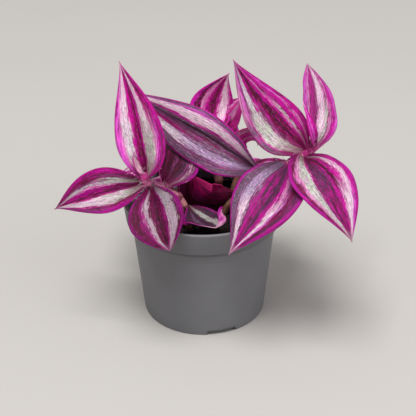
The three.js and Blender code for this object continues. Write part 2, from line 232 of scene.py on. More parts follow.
POT_HEIGHT = 47.3
RIM_RADIUS = 30.0
BAND_FOOT_RADIUS = 28.9
BAND_HEIGHT = 9.0
BAND_FOOT = POT_HEIGHT - BAND_HEIGHT
BAND_SLOPE = 0.3
BODY_TOP_RADIUS = 27.0
FOOT_RADIUS = 23.2
FLOOR_RISE = 1.6
WALL = 1.2
FLOOR_TOP = FLOOR_RISE + WALL
CORNER_ROUND = 0.42
WALL_ROWS = (27, 16, 9, 5, 3)
POT_AROUND = 160
FOOT_NOTCHES = (-74, 46, 166)
NOTCH_WIDTH = 11.0
NOTCH_DEPTH = 4.0
NOTCH_HEIGHT = 1.52
DRAIN_RADIUS = 2.4
DRAIN_CIRCLE = 13.0
DRAIN_AROUND = 32
PEG_ENDS = (0.5, 4.5)
# Heights in millimetres of the painted highlight along the lip.
LIP_HIGHLIGHT = (46.2, 47.4)
# Heights in millimetres of the painted shadow under the band's ledge.
BAND_LEDGE_SHADOW = (BAND_FOOT - 2.2, BAND_FOOT - 1.2)


def angles(count):
    """Evenly spaced angles round a full turn, in radians, from 0."""
    return np.arange(count) * 2 * math.pi / count


def wall_radius(height):
    """Outer radius of the tapered wall, on a straight line from the foot to the rim band."""
    return FOOT_RADIUS + (BODY_TOP_RADIUS - FOOT_RADIUS) * height / BAND_FOOT


def rounded(profile, radius, steps=5):
    """A profile whose corners become short quadratic curves that start a radius before them."""
    out = [profile[0]]
    for before, corner, after in zip(profile, profile[1:], profile[2:]):
        before, corner, after = np.array(before), np.array(corner), np.array(after)
        to_before, to_after = np.linalg.norm(before - corner), np.linalg.norm(after - corner)
        reach = min(radius, 0.45 * to_before, 0.45 * to_after)
        start = corner + (before - corner) * reach / to_before
        end = corner + (after - corner) * reach / to_after
        t = np.linspace(0, 1, steps)[:, None]
        out.extend(((1 - t) ** 2 * start + 2 * t * (1 - t) * corner + t**2 * end).tolist())
    return np.array(out + [profile[-1]])


def turned(profile, around):
    """A profile of radius and height carried round the upright axis, as a grid of points."""
    turn = angles(around)
    radius, height = profile[:, :1], profile[:, 1:]
    return np.stack([radius * np.cos(turn), radius * np.sin(turn), height + 0 * turn], -1)


def grey_plastic():
    """Matte moulded plastic: fine orange-peel grain, faint rings from the mould, and rubbed spots.
    The rim band is painted darker for the shade the leaves cast on it, a painted shadow of its
    ledge darkens the wall just below it, and a painted highlight lightens the lip."""
    finish = Finish("grey plastic", specular_ior_level=0.42, ior=1.49)
    place = finish.place()
    cloud = finish.noise(place, 90, 3)
    rings = finish.noise(finish.place((25, 25, 900)), 1, 2)
    grain = finish.noise(place, 2600, 2)
    scuff = finish.noise(finish.place((160, 160, 1500)), 1, 3).between(0.62, 0.78)
    lip_highlight = finish.climb(*LIP_HIGHLIGHT)
    # Painted shade: the rim band is darkened by a fifth, for the shade that the leaves cast on it.
    band = finish.climb(BAND_FOOT, BAND_FOOT + 0.2)
    # Painted shadow: the wall just below the band's ledge is darkened by about a third, for the
    # ledge's shadow.
    line = finish.climb(*BAND_LEDGE_SHADOW) * (1 - band)
    colour = finish.blend(cloud, paint("#626266"), paint("#6f6f73"))
    colour = finish.shade(colour, (0.99 + 0.08 * rings) * (1 - 0.2 * band) * (1 - 0.35 * line))
    # Painted highlight: the lip's rounded top is blended a third of the way to pale grey.
    colour = finish.blend(lip_highlight * 0.35, colour, paint("#8d8b8f"))
    colour = finish.blend(scuff * 0.12, colour, paint("#8a8684"))
    finish.set(base_color=colour, roughness=0.5 + 0.12 * cloud - 0.1 * lip_highlight + 0.06 * scuff)
    finish.bump(0.5 * grain + 0.35 * rings + 0.3 * cloud, 0.05)
    return finish.material


pot_corners = [
    (wall_radius(FLOOR_TOP) - WALL, FLOOR_TOP),
    (BODY_TOP_RADIUS - WALL, BAND_FOOT - WALL),
    (BAND_FOOT_RADIUS - WALL, BAND_FOOT + BAND_SLOPE),
    (RIM_RADIUS - WALL, POT_HEIGHT),
    (RIM_RADIUS, POT_HEIGHT),
    (BAND_FOOT_RADIUS, BAND_FOOT + BAND_SLOPE),
    (BODY_TOP_RADIUS, BAND_FOOT),
    *[(wall_radius(height), height) for height in WALL_ROWS],
    (FOOT_RADIUS, 0),
    (FOOT_RADIUS - WALL, 0),
    (wall_radius(FLOOR_RISE) - WALL, FLOOR_RISE),
]
pot_profile = rounded(pot_corners, CORNER_ROUND)
pot_profile = np.concatenate([[(0, FLOOR_TOP)], pot_profile, [(0, FLOOR_RISE)]])
pot_points = turned(pot_profile, POT_AROUND)
pot_faces = [grid_faces(len(pot_profile), POT_AROUND, wrap=True)]
pot = piece("pot_shell", pot_points, pot_faces, [grey_plastic()])

# The pot's three notches are boxes and its three drains pegs, which Booleans take from the shell.
BOX_FACES = np.array(
    [(0, 1, 3, 2), (4, 6, 7, 5), (0, 4, 5, 1), (2, 3, 7, 6), (0, 2, 6, 4), (1, 5, 7, 3)]
)
PEG = np.array([(DRAIN_RADIUS, height) for height in PEG_ENDS])
cutters = []
for degrees in FOOT_NOTCHES:
    turn = math.radians(degrees)
    outward = np.array([math.cos(turn), math.sin(turn), 0])
    aside = np.array([-math.sin(turn), math.cos(turn), 0])
    corners = [
        outward * (FOOT_RADIUS + depth) + aside * side + np.array([0, 0, height])
        for depth in (-NOTCH_DEPTH, NOTCH_DEPTH)
        for side in (-NOTCH_WIDTH / 2, NOTCH_WIDTH / 2)
        for height in (-1, NOTCH_HEIGHT)
    ]
    cutters.append(shape("notch", corners, [BOX_FACES], smooth=False))
    turn += math.pi / 3
    drain_place = DRAIN_CIRCLE * np.array([math.cos(turn), math.sin(turn), 0])
    drain = turned(PEG, DRAIN_AROUND) + drain_place
    cutters.append(shape("drain", drain, tube_faces(2, DRAIN_AROUND), smooth=False))
doubles = pot.modifiers.new("weld", "WELD")
doubles.merge_threshold = 0.01 * MM
for each in cutters:
    cut = pot.modifiers.new("cut", "BOOLEAN")
    cut.object = each
    cut.solver = "EXACT"
graph = bpy.context.evaluated_depsgraph_get()
cut_mesh = bpy.data.meshes.new_from_object(pot.evaluated_get(graph))
pot.modifiers.clear()
pot.data = cut_mesh
for each in cutters:
    bpy.data.objects.remove(each)
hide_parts("pot")


# Soil: black peaty potting soil that fills the pot to a little below its rim and holds the stems'
# feet. Its top is lumpy where it was pressed down, and loose crumbs of peat and bark lie on it.
SOIL_TOP = 39.6
SOIL_EDGE = 27.0
SOIL_FOOT = 34.0
SOIL_FOOT_SHARE = 0.96
SOIL_RINGS = 64
SOIL_AROUND = 160
LUMP_HEIGHT = 0.7
GRAIN_HEIGHT = 0.25
CRUMBS = 900
CRUMB_LEAST = 0.28
CRUMB_SPREAD = 0.75
CRUMB_RARITY = 2.5
CRUMB_ROUGHNESS = 0.28
CRUMB_STRETCH = (0.6, 1.25)
CRUMB_RISE = 0.35
chance = np.random.default_rng(11)


def soil_height(x, y):
    """Low lumps: sines of unlike lengths that fade at the wall, and finer waves for the grain."""
    lumps = np.sin(0.61 * x + 0.4) * np.cos(0.53 * y - 0.8)
    lumps += 0.6 * np.sin(1.07 * x - 0.9 * y + 1.3) + 0.4 * np.cos(1.63 * y + 0.7 * x)
    fine = np.sin(3.1 * x + 2.0 * np.sin(1.7 * y)) * np.cos(2.7 * y - 1.5 * np.sin(2.3 * x))
    fade = 1 - (np.hypot(x, y) / RIM_RADIUS) ** 6
    return SOIL_TOP + (LUMP_HEIGHT * lumps + GRAIN_HEIGHT * fine) * fade


def black_soil():
    """Near black crumbs of peat with brown fibres, dull and rough."""
    finish = Finish("black soil", specular_ior_level=0.25)
    place = finish.place()
    crumb = finish.noise(place, 700, 4, 0.65)
    fibre = finish.noise(finish.place((1, 3, 2)), 900, 2).between(0.6, 0.72)
    colour = finish.blend(crumb.between(0.35, 0.75), paint("#0c0807"), paint("#231915"))
    colour = finish.blend(fibre * 0.5, colour, paint("#3e2b20"))
    finish.set(base_color=colour, roughness=0.85 + 0.1 * crumb)
    finish.bump(crumb, 0.6)
    return finish.material


radius = SOIL_EDGE * np.linspace(0.004, 1, SOIL_RINGS)[:, None]
turn = angles(SOIL_AROUND)
x, y = radius * np.cos(turn), radius * np.sin(turn)
ground = np.stack([x, y, soil_height(x, y)], -1)
foot = ground[-1:] * np.array([SOIL_FOOT_SHARE, SOIL_FOOT_SHARE, 0]) + np.array([0, 0, SOIL_FOOT])
soil_points = np.concatenate([ground, foot])
soil_faces = tube_faces(SOIL_RINGS + 1, SOIL_AROUND)
soil_material = black_soil()
soil = piece("soil_bed", soil_points, soil_faces, [soil_material])
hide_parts("soil")

# Each crumb is a ball of six rings of eight points, roughened, stretched and sunk by about a third.
fall = np.linspace(0.05, math.pi - 0.05, 6)
ball = turned(np.stack([np.sin(fall), np.cos(fall)], -1), 8)
spread = SOIL_EDGE * 0.985 * np.sqrt(chance.uniform(0, 1, CRUMBS))
bearing = chance.uniform(0, 2 * math.pi, CRUMBS)
size = CRUMB_LEAST + CRUMB_SPREAD * chance.uniform(0, 1, CRUMBS) ** CRUMB_RARITY
spread = np.minimum(spread, SOIL_EDGE - size)
x, y = spread * np.cos(bearing), spread * np.sin(bearing)
centres = np.stack([x, y, soil_height(x, y) + CRUMB_RISE * size], -1)
rough_balls = ball * (1 + CRUMB_ROUGHNESS * chance.normal(size=(CRUMBS, *ball.shape[:2], 1)))
stretch = size[:, None, None, None] * chance.uniform(*CRUMB_STRETCH, (CRUMBS, 1, 1, 3))
crumb_points = rough_balls * stretch + centres[:, None, None]
crumb_faces = tube_faces(*ball.shape[:2], CRUMBS)
piece("soil_crumbs", crumb_points, crumb_faces, [soil_material])


# Stems: five juicy rose stems, rooted in the soil, that lean out to their rosettes. Each is a tube
# along a curve, faintly ribbed and ringed, which a leaf's sheath wraps at every node, and it ends
# in a blunt bud.
STEMS = {
    "stem_left": [
        (-4, -14, 30), (-6, -13, 46), (-8, -11.5, 51.5), (-13, -11, 55.5), (-18, -14, 59),
        (-20.5, -15, 61.5), (-21, -14.5, 63.5),
    ],
    "stem_right": [
        (4, -2, 30), (8.5, -4, 44), (15, -5.5, 52), (21, -7.5, 60), (29.5, -9, 64.5),
        (36.5, -7, 67), (40.5, -5, 70),
    ],
    "stem_centre": [(7, 6, 30), (6, 8, 47), (4.5, 10, 58), (1, 12, 65), (0.5, 13, 69)],
    "stem_back_left": [(-8, 9, 30), (-11, 13, 46), (-14, 17, 54), (-17, 19, 62)],
    "stem_back_right": [(9, 10, 30), (12, 14, 43.5), (15.5, 16.5, 49), (20, 18, 50)],
}
STEM_RADIUS = 1.164
STEM_AROUND = 24
STEM_STEPS = 24
BUD_LENGTH = 1.3


def unit(vectors):
    """Vectors brought to a length of 1."""
    return vectors / np.linalg.norm(vectors, axis=-1, keepdims=True)


def rings(directions, guide, around):
    """Circles of radius 1, one square to each direction: the cosine of the angle along the unit
    vector that is square to the guide too, and its sine along the one that is square to both."""
    aside = unit(np.cross(directions, guide))[:, None]
    beyond = np.cross(directions[:, None], aside)
    turn = angles(around)[:, None]
    return np.cos(turn) * aside + np.sin(turn) * beyond


def along_stem(stem, at):
    """Places and directions on a stem: the Catmull-Rom curve through its points, where 0 is the
    first point, 1 the second and so on."""
    points = np.array(STEMS[stem], float)
    ends = np.concatenate([[2 * points[0] - points[1]], points, [2 * points[-1] - points[-2]]])
    at = np.atleast_1d(np.asarray(at, float))
    first = np.clip(np.floor(at).astype(int), 0, len(points) - 2)
    w = (at - first)[:, None]
    p0, p1, p2, p3 = (ends[first + k] for k in range(4))
    v1, v2 = (p2 - p0) / 2, (p3 - p1) / 2
    a, b = 2 * p1 - 2 * p2 + v1 + v2, 3 * p2 - 3 * p1 - 2 * v1 - v2
    direction = 3 * a * w**2 + 2 * b * w + v1
    return a * w**3 + b * w**2 + v1 * w + p1, unit(direction)


def lay_uv(made, name, lane, reach):
    """A UV map of a mesh made row by row: lane runs along each row, and reach from row to row."""
    layer = made.data.uv_layers.new(name=name)
    places = np.stack(np.meshgrid(lane, reach), -1).reshape(-1, 2)
    corner = np.empty(len(made.data.loops), int)
    made.data.loops.foreach_get("vertex_index", corner)
    layer.data.foreach_set("uv", places[corner % len(places)].ravel())


def rose_stem():
    """Watery rose stem with pale lengthwise lines. It is browner and duller towards the soil, whose
    earth smears its foot, and the bud is magenta."""
    finish = Finish("rose stem", subsurface_weight=0.15, subsurface_scale=0.001)
    uv = finish.node("UVMap", {"uv_map": "stem"})
    lines = finish.noise(finish.node("Mapping", {}, {"Vector": uv, "Scale": (30, 3, 1)}), 1, 3)
    patches = finish.noise(finish.place(), 350, 3)
    fresh = finish.climb(44, 60)
    bud = finish.axis(uv, "Y").between(-0.7, -0.3)
    old = finish.blend(patches, paint("#6e4436"), paint("#a87a66"))
    young = finish.blend(lines, paint("#a4436b"), paint("#d891a4"))
    colour = finish.blend(bud, finish.blend(fresh, old, young), paint("#a81a70"))
    earth = (finish.axis(finish.place(), "Z") + 0.006 * patches).between(0.0475, 0.0435)
    colour = finish.blend(earth * 0.85, colour, paint("#2a1b13"))
    finish.set(base_color=finish.shade(colour, 0.85 + 0.3 * lines))
    finish.set(roughness=0.42 + 0.15 * patches + 0.3 * earth)
    finish.bump(lines, 0.12)
    return finish.material


stem_material = rose_stem()
for stem, points in STEMS.items():
    top = len(points) - 1
    at = np.linspace(0, top, STEM_STEPS * top + 1)
    place, direction = along_stem(stem, at)
    length = np.linalg.norm(place - place[-1], axis=-1)
    blunt = np.sqrt(np.clip(1 - (1 - np.clip(length / BUD_LENGTH, 0, 1)) ** 2, 0.0004, 1))
    ribs = 1 + 0.03 * np.sin(5 * angles(STEM_AROUND)) + 0.02 * np.sin(40 * at)[:, None]
    radius = STEM_RADIUS * blunt[:, None] * ribs
    tube = place[:, None] + radius[..., None] * rings(direction, (0.3, 1, 0.1), STEM_AROUND)
    made = piece(stem + "_skin", tube, tube_faces(len(at), STEM_AROUND), [stem_material])
    lay_uv(made, "stem", np.arange(STEM_AROUND) / STEM_AROUND, at - top)
    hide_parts(stem)


# Leaves of the left rosette: fleshy blades folded along the midrib, with stripes that run together
# at both ends. Each rises from a short papery sheath that wraps the stem.
MIDRIB_THICKNESS = 0.62
MARGIN_THICKNESS = 0.26
TIP_THINNING = 0.45
TIP_HALF_WIDTH = 0.12
RIB_HEIGHT = 0.05
CLASP_FOLD = 55
CLASP_HALF_WIDTH = 1.6
CLASP_OFFSET = 1.8
LONG_LEAF = 32
LONG_LEAF_STEPS, LEAF_STEPS, LEAF_LANES = 76, 56, 35
SHEATH_ROWS = [-0.18, -0.15, -0.12, -0.08, -0.04]
SHEATH_MOUTH = 0.12
SHEATH_STRETCH = 9
SHEATH_SLANT = 0.5
SHEATH_WRAP = 0.985
SHEATH_WALL = 0.3
SHEATH_RADIUS = 1.5
SHEATH_TAPER = 0.34
OPENING = (0.0, 0.13)
FLAP_ALONG = (0.4, 0.7)
FLAP_ACROSS = (0.58, 0.74)
FLAP_STRETCH = 0.45
FRESH_HEIGHT = 56
OPEN_ROWS = slice(20, 40)
HAIRY_ROWS = slice(4, 18)
PAINTS = {
    "magenta": "#bc008e",
    "margin": "#b20494",
    "rose": "#c4208e",
    "orchid": "#e058cc",
    "pink": "#de86c0",
    "white": "#eccfe0",
    "silver": "#d0c2cc",
    "green": "#bcc0b2",
    "lilac": "#a184ac",
    "mauve": "#843c6e",
    "plum": "#5e2f54",
    "slate": "#4c3046",
    "ash": "#674a66",
    "wine": "#780a48",
    "maroon": "#4e0c2c",
    "pale": "#e0b2c4",
    "rust": "#641f3a",
    "sheath": "#b83280",
    "crimson": "#ba0664",
}
SHINES = {
    "silver": 1.0, "green": 1.0, "white": 0.7, "lilac": 0.8, "ash": 0.3, "pink": 0.3, "pale": 0.3,
}


def band_stops(bands, soft):
    """Ramp stops for bands given as words and hundredths of the width, from the left margin to the
    right. Each colour holds across its band and passes softly into the next. Alpha is how silvery a
    band is."""
    words = bands.split()
    names, widths = words[::2], np.array(words[1::2], float)
    edges = np.concatenate([[0], np.cumsum(widths) / widths.sum()])
    stops = []
    for name, low, high in zip(names, edges, edges[1:]):
        colour = (*paint(PAINTS[name])[:3], SHINES.get(name, 0.0))
        give = min(soft, (high - low) / 3)
        stops.append((low + give, colour))
        stops.append((high - give, colour))
    return stops


class BladeFinish(Finish):
    """A finish in a blade's own coordinates: across from its left margin to its right one, along
    from its sheath to its tip, both from 0 to 1. Start is where its noise begins, so that no two
    leaves are alike."""

    def __init__(self, name, start, **sockets):
        super().__init__(name, **sockets)
        self.start = start
        self.blade = self.node("UVMap", {"uv_map": "blade"})
        self.across = self.axis(self.blade, "X")
        self.along = self.axis(self.blade, "Y")

    def streaks(self, across, along, shift, low, high):
        """Noise with so many lumps across and along the blade, from 0 below low to 1 above high."""
        location = (self.start[0] + shift, *self.start[1:])
        place = {"Vector": self.blade, "Scale": (across, along, 1), "Location": location}
        return self.noise(self.node("Mapping", {}, place), 1, 2, 0.6).between(low, high)

    def bands(self, words, at, soft=0.016):
        """The colour of the bands at a place across the blade, and how silvery it is."""
        colour = self.node("ValToRGB", {"stops": band_stops(words, soft)}, {"Fac": at})
        return colour, Number(self, colour.socket.node.outputs["Alpha"])

    def sheath_colour(self):
        """Fresh sheaths are rose, and the old ones near the soil have dried to brown."""
        fresh = self.blend(self.climb(60.5, 63), paint("#d87aa4"), paint(PAINTS["sheath"]))
        return self.blend(self.climb(52, 57), paint("#6c3f28"), fresh)


def striped_leaf(
    name, bands, far=None, tip="pale", base="rust", tone_and_painted_light=1.0, vivid=0.6, seed=0.0,
    change=(0.35, 0.65), crease=(0.5, 0.25),
):
    """The upper face: bands in the blade's own coordinates, one set near the stem and, if far is
    given, one towards the tip, changing between two shares of the length. Their edges are frayed
    into fine lengthwise streaks. Silver bands, where air lies under the skin, are flecked with
    mauve, and with white that is partly their own mottling and partly painted glints; dark bands
    carry vivid and blackish threads. Both ends are tinted, and a thin line of painted shade
    darkens the crease, at a place across the blade and with a strength. The leaf's brightness
    number scales it all, as its own lightness together with painted light and shade."""
    start = (seed, 3 * seed, seed)
    finish = BladeFinish(name, start, specular_ior_level=0.15)
    finish.set(subsurface_weight=0.03, subsurface_scale=0.001)
    across, along = finish.across, finish.along
    wander = finish.streaks(5, 2.5, 1.7, 0.4, 0.6)
    fray = finish.streaks(28, 5, 4.1, 0.4, 0.6)
    frizz = finish.streaks(72, 16, 8.3, 0.4, 0.6)
    veins = finish.streaks(46, 5, 9.3, 0.3, 0.7)
    cells = finish.streaks(80, 34, 3.3, 0.3, 0.7)

    off_middle = (2 * across - 1) * (2 * across - 1)
    hold = 1 - off_middle.between(0.7, 1.0)
    lane = across + hold * (0.03 * wander + 0.026 * fray + 0.03 * frizz - 0.043)
    colour, silvery = finish.bands(bands, lane)
    if far:
        far_colour, far_silvery = finish.bands(far, lane)
        passing = (along + 0.08 * (fray - 0.5)).between(*change)
        colour = finish.blend(passing, colour, far_colour)
        silvery = silvery * (1 - passing) + far_silvery * passing

    # Flecks and threads: where they may lie, their streaks, how strong they are, and their colour.
    dark = 1 - silvery
    for where, streak, strength, thread in (
        (silvery, (56, 26, 6.6, 0.50, 0.60), 0.6, "#74536c"),
        (silvery, (30, 6, 5.2, 0.52, 0.66), 0.4, PAINTS["orchid"]),
        # White flecks on the silver: partly its own mottling, partly painted glints of its sparkle.
        (silvery, (64, 30, 7.7, 0.53, 0.62), 0.6, "#ece2e8"),
        (dark, (40, 8, 2.9, 0.54, 0.64), vivid, "#d000a0"),
        (dark, (36, 7, 0.6, 0.50, 0.62), 0.6, "#400c28"),
        (dark, (60, 20, 8.8, 0.58, 0.68), 0.45 * vivid, "#a48496"),
    ):
        colour = finish.blend(where * finish.streaks(*streak) * strength, colour, paint(thread))

    # Painted shade: a thin near-black line along the crease, for the shade deep in the fold.
    off_crease = (across - crease[0]) * (across - crease[0])
    crease_shade = off_crease.between(0.0004, 0.00004) * along.between(0.95, 0.6) * crease[1]
    colour = finish.blend(crease_shade, colour, paint("#1d0612"))
    colour = finish.blend(along.between(0.24, 0.04) * 0.75, colour, paint(PAINTS[base]))
    colour = finish.blend(along.between(0.88, 0.99) * 0.5, colour, paint(PAINTS[tip]))
    colour = finish.blend(off_middle.between(0.93, 1.0) * 0.45, colour, paint(PAINTS["wine"]))
    colour = finish.blend(along.between(0.08, 0.02) * 0.95, colour, finish.sheath_colour())
    # The leaf's brightness number scales the colour: its own lightness together with painted light
    # and shade for how brightly the leaf is lit where it stands.
    finish.set(base_color=finish.shade(colour, tone_and_painted_light * (0.68 + 0.42 * veins + 0.22 * cells)))
    finish.set(roughness=0.46 - 0.1 * silvery + 0.14 * cells)
    finish.bump(0.6 * veins + 0.4 * cells, 0.16)
    return finish.material


def leaf_underside(name, bands, tone_and_painted_light=1.0, tip="pink", fade=0.0, seed=0.0):
    """The lower face: rose magenta, with the bands above showing through as broad faint ones,
    darker threads along its veins and a paler tip. Its brightness number holds painted light and
    shade as well as the leaf's own lightness, and fade paints shade that darkens a shaded leaf
    towards its base."""
    start = (seed, seed, seed)
    finish = BladeFinish(name, start, specular_ior_level=0.3)
    finish.set(subsurface_weight=0.1, subsurface_scale=0.0015)
    along = finish.along
    fray = finish.streaks(16, 3, 1.1, 0.35, 0.65)
    veins = finish.streaks(46, 6, 5.3, 0.35, 0.65)
    patches = finish.streaks(5, 4, 3.9, 0.35, 0.65)
    threads = finish.streaks(26, 3, 2.2, 0.52, 0.7)
    colour = finish.bands(bands, finish.across + 0.08 * (fray - 0.5), soft=0.04)[0]
    colour = finish.blend(threads * 0.4, colour, paint(PAINTS["maroon"]))
    colour = finish.blend(patches * 0.25, colour, paint(PAINTS["rose"]))
    colour = finish.blend(along.between(0.84, 1.0) * 0.7, colour, paint(PAINTS[tip]))
    colour = finish.blend(along.between(0.12, 0.03) * 0.9, colour, finish.sheath_colour())
    # The brightness number holds painted light and shade as well as the leaf's own lightness, and
    # fade is painted shade that darkens the leaf towards its base.
    light = tone_and_painted_light * (1 - fade * along.between(0.75, 0.1)) * (0.75 + 0.5 * veins)
    finish.set(base_color=finish.shade(colour, light), roughness=0.45 + 0.12 * fray)
    finish.bump(veins + 0.5 * fray, 0.16)
    return finish.material


def eased(t, low, high):
    """0 before low, 1 after high, and between them a smooth step: the square of the share that is
    passed, times 3 less twice that share."""
    w = np.clip((t - low) / (high - low), 0, 1)
    return w * w * (3 - 2 * w)


def summed(values, across):
    """The running integral of values across the blade from the midrib, by the trapezium rule."""
    steps = (values[..., 1:] + values[..., :-1]) / 2 * np.diff(across)
    total = np.concatenate([0 * values[..., :1], np.cumsum(steps, -1)], -1)
    return total - total[..., values.shape[-1] // 2, None]


def sheath(t, s, place, direction, outward, beside):
    """A tube round the stem, open at the back: a circle carried along the stem's direction,
    narrower at its foot, with its mouth slanted up towards the blade."""
    wrap = s * math.pi * SHEATH_WRAP
    ring = np.cos(wrap)[:, None] * outward + np.sin(wrap)[:, None] * beside
    height = (np.clip(t, SHEATH_ROWS[0], SHEATH_MOUTH) * SHEATH_STRETCH)[:, None]
    slant = SHEATH_SLANT * np.cos(wrap) * eased(t, -0.05, 0.1)[:, None]
    girth = SHEATH_RADIUS - SHEATH_TAPER * (1 - eased(t, SHEATH_ROWS[0], -0.03))
    return place + (height + slant)[..., None] * direction + girth[:, None, None] * ring


def closed_skin(middle, half_thickness):
    """An upper and a lower skin that stand off a middle surface by half its thickness, joined round
    the edge. Gives the points, the quads, and for each quad 0 on the upper skin and 1 elsewhere."""
    rows, columns = middle.shape[:2]
    count = rows * columns
    quads = grid_faces(rows, columns)
    index = np.arange(count).reshape(rows, columns)
    rim = np.concatenate([index[0, :-1], index[:-1, -1], index[-1, :0:-1], index[:0:-1, 0]])
    after = np.roll(rim, -1)
    closing = np.stack([rim, rim + count, after + count, after], -1)
    faces = np.concatenate([quads, quads[:, ::-1] + count, closing])
    skins = np.concatenate([middle + half_thickness, middle - half_thickness])
    return skins, faces, np.repeat([0, 1], [len(quads), len(quads) + len(closing)])


# Leaves add the margins of their fresh sheaths to these, for the hairs that are made last.
hair_roots, hair_ways = [], []


def leaf(
    name, stem, at, heading, rise, length, width, upper, under, slot="striped_leaf",
    arch=0, sway=0, roll=0, widest=0.42, point=1.25, fold=20, curl=0, lop=0,
    flap=0, ripple=0.25, phase=0.0, clasp=5,
):
    """A blade and its sheath as one closed skin, on rows t from stem to tip and lanes s from margin
    to margin. It grows at a place on its stem's curve. The midrib is a parabola that sets out by
    heading, from the plant's right, and by rise, from level, and that bows up by arch and aside by
    sway; roll banks the blade about it. The half width follows t to one power times 1 - t to
    another, with its greatest value at widest and a finer tip the greater point is. Across it the
    slope turns evenly from fold beside the midrib to curl at the margin, and both grow steep where
    the blade clasps the stem, over a shorter stretch the greater clasp is. Lop makes one half wider
    than the other, and ripple waves the margins. Towards the tip one margin may turn over by the
    angle flap, the right one for a positive angle and the left one for a negative. Before the blade
    opens, its margins meet behind the stem, as a tube."""
    steps = LONG_LEAF_STEPS if length > LONG_LEAF else LEAF_STEPS
    t = np.concatenate([SHEATH_ROWS, np.linspace(0, 1, steps) ** 1.15])
    even = np.linspace(-1, 1, LEAF_LANES)
    s = 0.35 * np.sin(even * math.pi / 2) + 0.65 * even
    heading, rise, roll, fold, curl = np.radians([heading, rise, roll, fold, curl])
    level = np.array([math.cos(heading), math.sin(heading), 0])
    tipward = level * math.cos(rise) + np.array([0, 0, math.sin(rise)])
    up = -level * math.sin(rise) + np.array([0, 0, math.cos(rise)])
    side = np.cross(tipward, up)
    face = up * math.cos(roll) + side * math.sin(roll)
    place, direction = (found[0] for found in along_stem(stem, at))
    outward = unit(tipward - tipward.dot(direction) * direction)

    # Midrib, and at each of its points the way along it, away from the upper face and across.
    u = np.clip(t, 0, 1)[:, None]
    bow = up * arch + side * sway
    tangent = unit(tipward * length + bow * (4 - 8 * u))
    normal = unit(face - (tangent @ face)[:, None] * tangent)
    across = np.cross(tangent, normal)
    midrib = place + CLASP_OFFSET * outward + tipward * length * u + bow * 4 * u * (1 - u)

    # Half width, slope across the blade, and the blade that they give.
    climb = point * widest / (1 - widest)
    shape_width = (u / widest) ** climb * ((1 - u) / (1 - widest)) ** point
    clasp_width = CLASP_HALF_WIDTH * (1 - u) ** 4 * (1 - shape_width)
    half = np.maximum(width / 2 * shape_width + clasp_width, TIP_HALF_WIDTH)
    half = half - TIP_HALF_WIDTH * (1 - u) * u
    near = (1 - u) ** clasp
    slope_in = fold + (math.radians(CLASP_FOLD) - fold) * near
    slope_out = curl + (math.radians(CLASP_FOLD) - curl) * near
    slope = slope_in + (slope_out - slope_in) * np.abs(s)
    late = eased(u, *FLAP_ALONG)
    flap_side = s * np.sign(flap)
    slope = slope + math.radians(abs(flap)) * late * eased(flap_side, *FLAP_ACROSS)
    stretch = 1 + FLAP_STRETCH * late * (flap_side > 0)
    wide = (1 + lop * s) * half
    out = wide * summed(stretch * np.cos(slope), s)
    lift = wide * summed(stretch * np.sign(s) * np.sin(slope), s)
    waves = np.abs(s) ** 3 * np.sin(2 * math.pi * (2.6 * u + phase) + 1.9 * s)
    ribs = np.cos(7 * math.pi * s) * (1 - np.abs(s) ** 4)
    lift = lift + shape_width * (ripple * waves + RIB_HEIGHT * ribs)
    blade = midrib[:, None] + out[..., None] * across[:, None] + lift[..., None] * normal[:, None]

    beside = np.cross(direction, outward)
    if beside.dot(across[0]) < 0:
        beside = -beside
    opened = eased(t, *OPENING)[:, None, None]
    middle = sheath(t, s, place, direction, outward, beside) * (1 - opened) + blade * opened

    outer = unit(np.cross(np.gradient(middle, axis=1), np.gradient(middle, axis=0)))
    if np.einsum("ijk,ik->", outer[OPEN_ROWS], normal[OPEN_ROWS]) < 0:
        outer = -outer
    thick = MARGIN_THICKNESS + (MIDRIB_THICKNESS - MARGIN_THICKNESS) * (1 - np.abs(s)) ** 1.3
    thick = np.where(t[:, None] < 0.02, SHEATH_WALL, thick * (1 - TIP_THINNING * u))
    skins, faces, kinds = closed_skin(middle, outer * thick[..., None] / 2)
    made = piece(name + "_blade", skins, [faces], [upper, under])
    made.data.polygons.foreach_set("material_index", kinds)
    lay_uv(made, "blade", (s + 1) / 2, np.clip(t, 0, 1))
    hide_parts(name)
    if place[2] > FRESH_HEIGHT:
        mouth = middle[HAIRY_ROWS][:, [0, -1]].reshape(-1, 3)
        hair_roots.append(mouth)
        hair_ways.append(unit(mouth - place))


rose_underside = leaf_underside(
    "rose underside", "margin 5 rose 20 wine 12 rose 26 wine 12 rose 20 margin 5",
)
plum_underside = leaf_underside(
    "plum underside", "margin 6 wine 30 maroon 28 wine 30 margin 6", tone_and_painted_light=1.2, seed=1.5,
)
leaf(
    "leaf_left_front", "stem_left", 4.0, -73, -32, 25, 21.5,
    striped_leaf(
        "striped front left",
        "margin 6 mauve 5 silver 20 magenta 4 wine 12 maroon 5 wine 14 white 8 "
        "magenta 6 wine 16 margin 4",
        "margin 6 wine 6 white 20 magenta 6 wine 8 maroon 6 wine 10 white 9 magenta 8 "
        "wine 17 margin 4",
        tip="pink", base="wine", tone_and_painted_light=0.48, seed=1.0,
    ),
    rose_underside, arch=2.5, sway=1.5, roll=29, widest=0.52, point=1.0, fold=25, curl=9, phase=0.2,
)
leaf(
    "leaf_left_side", "stem_left", 4.6, 174, -19.5, 35, 17,
    striped_leaf(
        "striped left side",
        "margin 4 magenta 8 wine 12 green 20 magenta 4 maroon 8 wine 6 magenta 6 green 13 "
        "mauve 9 wine 3 magenta 8",
        "margin 8 mauve 8 rose 5 white 19 rose 4 wine 9 magenta 12 pink 4 silver 6 "
        "mauve 5 wine 11 magenta 9",
        tip="rose", tone_and_painted_light=0.86, seed=2.0, change=(0.22, 0.55),
    ),
    rose_underside, arch=3, sway=-3.5, roll=-72, widest=0.36, point=1.4, fold=23,
    curl=-2, lop=0.1, phase=0.5,
)
